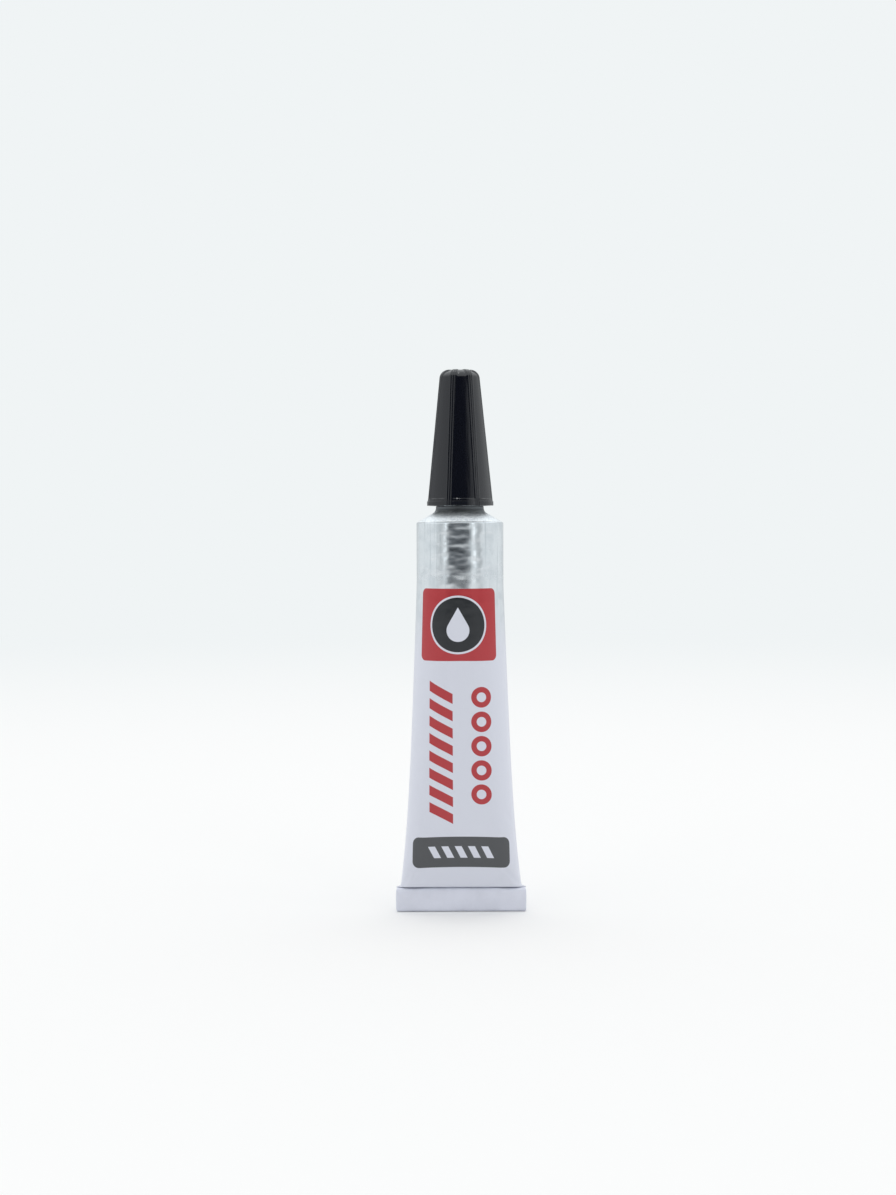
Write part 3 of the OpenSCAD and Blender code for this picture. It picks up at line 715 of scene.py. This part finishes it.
# The floor fades into the backdrop
floor_paper, tree, place = new_material("floor_paper")
off = node(tree, "VectorMath", {0: place}, operation="LENGTH").outputs["Value"]
paper = node(tree, "BsdfDiffuse", {"Color": colour("#f5f5f4")}).outputs[0]
seen = node(tree, "LightPath").outputs
turn = azimuth(tree, node(tree, "SeparateXYZ", {0: place}).outputs)
dim = maths(tree, "MULTIPLY", dim_side(tree, turn), seen["Is Glossy Ray"])
glow_colour = blend(tree, dim, BACKDROP, DIM_TABLE)
glow = node(tree, "Emission", {"Color": glow_colour, "Strength": 1}).outputs[0]
seen_far = maths(tree, "MULTIPLY", rise(tree, off, FADE_FROM, FADE_TO),
                 maths(tree, "MAXIMUM", seen["Is Camera Ray"], seen["Is Glossy Ray"]))
mixed = node(tree, "MixShader", {0: seen_far, 1: paper, 2: glow}).outputs[0]
node(tree, "OutputMaterial", {"Surface": mixed})
bm = bmesh.new()
bmesh.ops.create_circle(bm, cap_ends=True, segments=96, radius=FLOOR_R)
mesh = bpy.data.meshes.new("floor")
bm.to_mesh(mesh)
bm.free()
mesh.materials.append(floor_paper)
floor = bpy.data.objects.new("floor", mesh)
bpy.context.scene.collection.objects.link(floor)

world = bpy.data.worlds.new("studio")
bpy.context.scene.world = world
world.use_nodes = True
tree = world.node_tree
tree.nodes.clear()
apart = node(tree, "SeparateXYZ", {0: node(tree, "TexCoord").outputs["Generated"]}).outputs
up, turn = apart[2], azimuth(tree, apart)
seen = node(tree, "LightPath").outputs
glossy, diffuse = seen["Is Glossy Ray"], seen["Is Diffuse Ray"]
dim = maths(tree, "MULTIPLY", dim_side(tree, turn), rise(tree, up, 0.65, 0.45))
felt = maths(tree, "MULTIPLY_ADD", diffuse, 0.75, glossy)
room = blend(tree, diffuse, BACKDROP, colour("#f6f7f8"))
dark = blend(tree, rise(tree, up, 0.06, 0.17), DIM_TABLE, DIM_ROOM)
sky = blend(tree, maths(tree, "MULTIPLY", dim, felt), room, dark)
# A soft light overhead, brighter than the rest of the room
SOFTBOX_SEEN, SOFTBOX_FELT, FILL = 0.8, 0.1, 0.12
softbox = maths(tree, "MULTIPLY_ADD", diffuse, SOFTBOX_FELT, maths(tree, "MULTIPLY", glossy, SOFTBOX_SEEN))
softbox = maths(tree, "MULTIPLY", rise(tree, up, 0.35, 0.75), softbox)
# Two upright strip lights beside the dim side, which draw thin bright lines on the metal and the cap
LIGHT_TURNS, LIGHT_W, LIGHT_GLOW = (-0.71, 0.64), 0.06, 0.8
strips = maths(tree, "MAXIMUM", *[rise(tree, away(tree, turn, at), LIGHT_W, LIGHT_W/2) for at in LIGHT_TURNS])
strips = maths(tree, "MULTIPLY", strips, maths(tree, "MULTIPLY", glossy, rise(tree, up, 0.7, 0.5)))
fill = maths(tree, "MULTIPLY_ADD", diffuse, FILL, 1)
strength = maths(tree, "ADD", fill, maths(tree, "MULTIPLY_ADD", strips, LIGHT_GLOW, softbox))
background = node(tree, "Background", {"Color": sky, "Strength": strength}).outputs[0]
node(tree, "OutputWorld", {"Surface": background})

LAMP_Z, LAMP_SIZE, LAMP_POWER = 0.6, 0.05, 0.1
lamp = bpy.data.lights.new("overhead", "AREA")
lamp.shape, lamp.size, lamp.energy = "DISK", LAMP_SIZE, LAMP_POWER
overhead = bpy.data.objects.new("overhead", lamp)
overhead.matrix_world = Matrix.Translation((0, 0, LAMP_Z))
bpy.context.scene.collection.objects.link(overhead)

# The camera stands a little above the middle of the tube and looks slightly down
FOCAL_PIXELS, LONG_SIDE, SENSOR = 1670, 1195, 36
CAMERA_AT, LOOK_DOWN, ROLL = Vector((-1.89, -260, 60))*MM, radians(2.38), radians(-0.22)
lens = bpy.data.cameras.new("camera")
lens.sensor_width, lens.lens, lens.clip_start = SENSOR, SENSOR*FOCAL_PIXELS/LONG_SIDE, 0.005
camera = bpy.data.objects.new("camera", lens)
camera.matrix_world = (Matrix.Translation(CAMERA_AT) @ Matrix.Rotation(pi/2 - LOOK_DOWN, 4, "X")
                       @ Matrix.Rotation(ROLL, 4, "Z"))
bpy.context.scene.collection.objects.link(camera)
bpy.context.scene.camera = camera
bpy.context.scene.view_settings.view_transform = "Standard"
